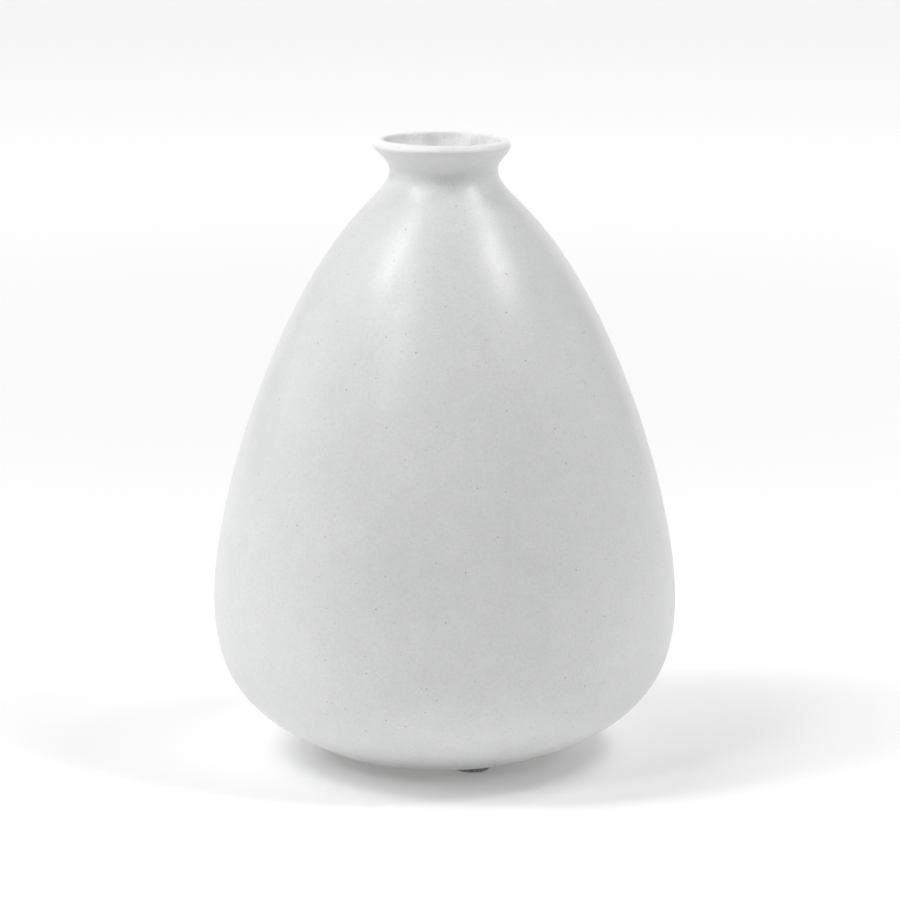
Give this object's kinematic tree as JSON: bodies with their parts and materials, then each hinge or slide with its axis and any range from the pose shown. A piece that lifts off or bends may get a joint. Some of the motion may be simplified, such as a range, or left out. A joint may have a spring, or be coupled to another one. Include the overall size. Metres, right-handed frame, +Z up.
{
  "type": "bud vase",
  "caption": "Teardrop ceramic bud vase with a narrow waist and a flared rounded lip, on small round felt pads, for holding cut flower stems.",
  "frame": {"origin": "on the vase's axis, in the plane that its felt pads stand on", "axes": "+Z up along the axis of revolution, front of the vase (the side with a pad just right of the middle) towards -Y, +X to the right of the front view"},
  "size_m": [0.1454, 0.1454, 0.195],
  "materials": {
    "satin_white_glaze": "satin",
    "grey_felt": "matte",
    "adhesive": "matte"
  },
  "bodies": {
    "root": {"vase_body": "satin_white_glaze", "felt_pad_1": "grey_felt", "felt_pad_2": "grey_felt", "felt_pad_3": "grey_felt", "adhesive_film_1": "adhesive", "adhesive_film_2": "adhesive", "adhesive_film_3": "adhesive"}
  },
  "joints": []
}
